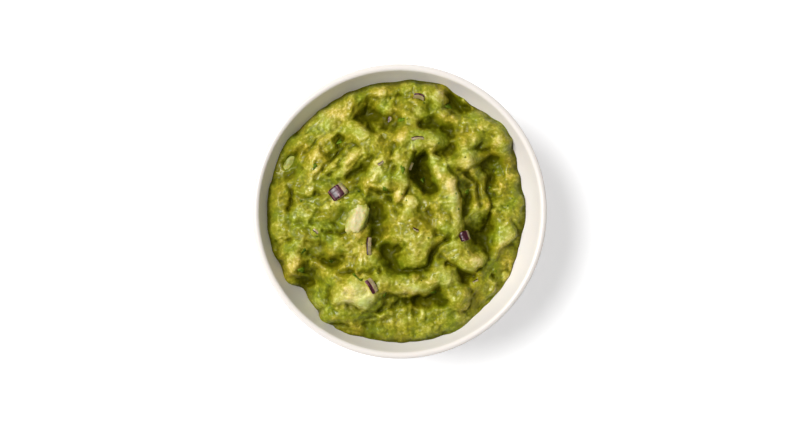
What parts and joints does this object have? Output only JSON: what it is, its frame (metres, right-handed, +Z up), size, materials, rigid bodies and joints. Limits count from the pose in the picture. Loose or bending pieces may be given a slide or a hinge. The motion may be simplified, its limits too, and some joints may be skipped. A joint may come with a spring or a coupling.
{
  "type": "bowl of guacamole",
  "caption": "Round footed white bowl heaped with chunky mashed avocado, folded by the spoon, with diced red onion and soft avocado chunks on top.",
  "frame": {"origin": "centre of the foot ring's underside, on the surface that the bowl stands on", "axes": "+Z up along the bowl's axis. +Y is towards the back of the heap, where its peak is, and +X towards the low shoulder on the right"},
  "size_m": [0.12, 0.12, 0.0523],
  "materials": {
    "glazed_porcelain": "warm white porcelain under a clear glossy glaze",
    "mashed_avocado": "moist yellow-green mash with an uneven soft gloss",
    "red_onion": "wet, dark purple skin side",
    "avocado_flesh": "moist pale green-cream flesh"
  },
  "bodies": {
    "root": {"bowl": "glazed_porcelain", "guacamole": "mashed_avocado", "onion_dice_left": "red_onion", "onion_dice_right": "red_onion", "avocado_chunk_middle": "avocado_flesh", "avocado_chunk_edge": "avocado_flesh"}
  },
  "joints": []
}
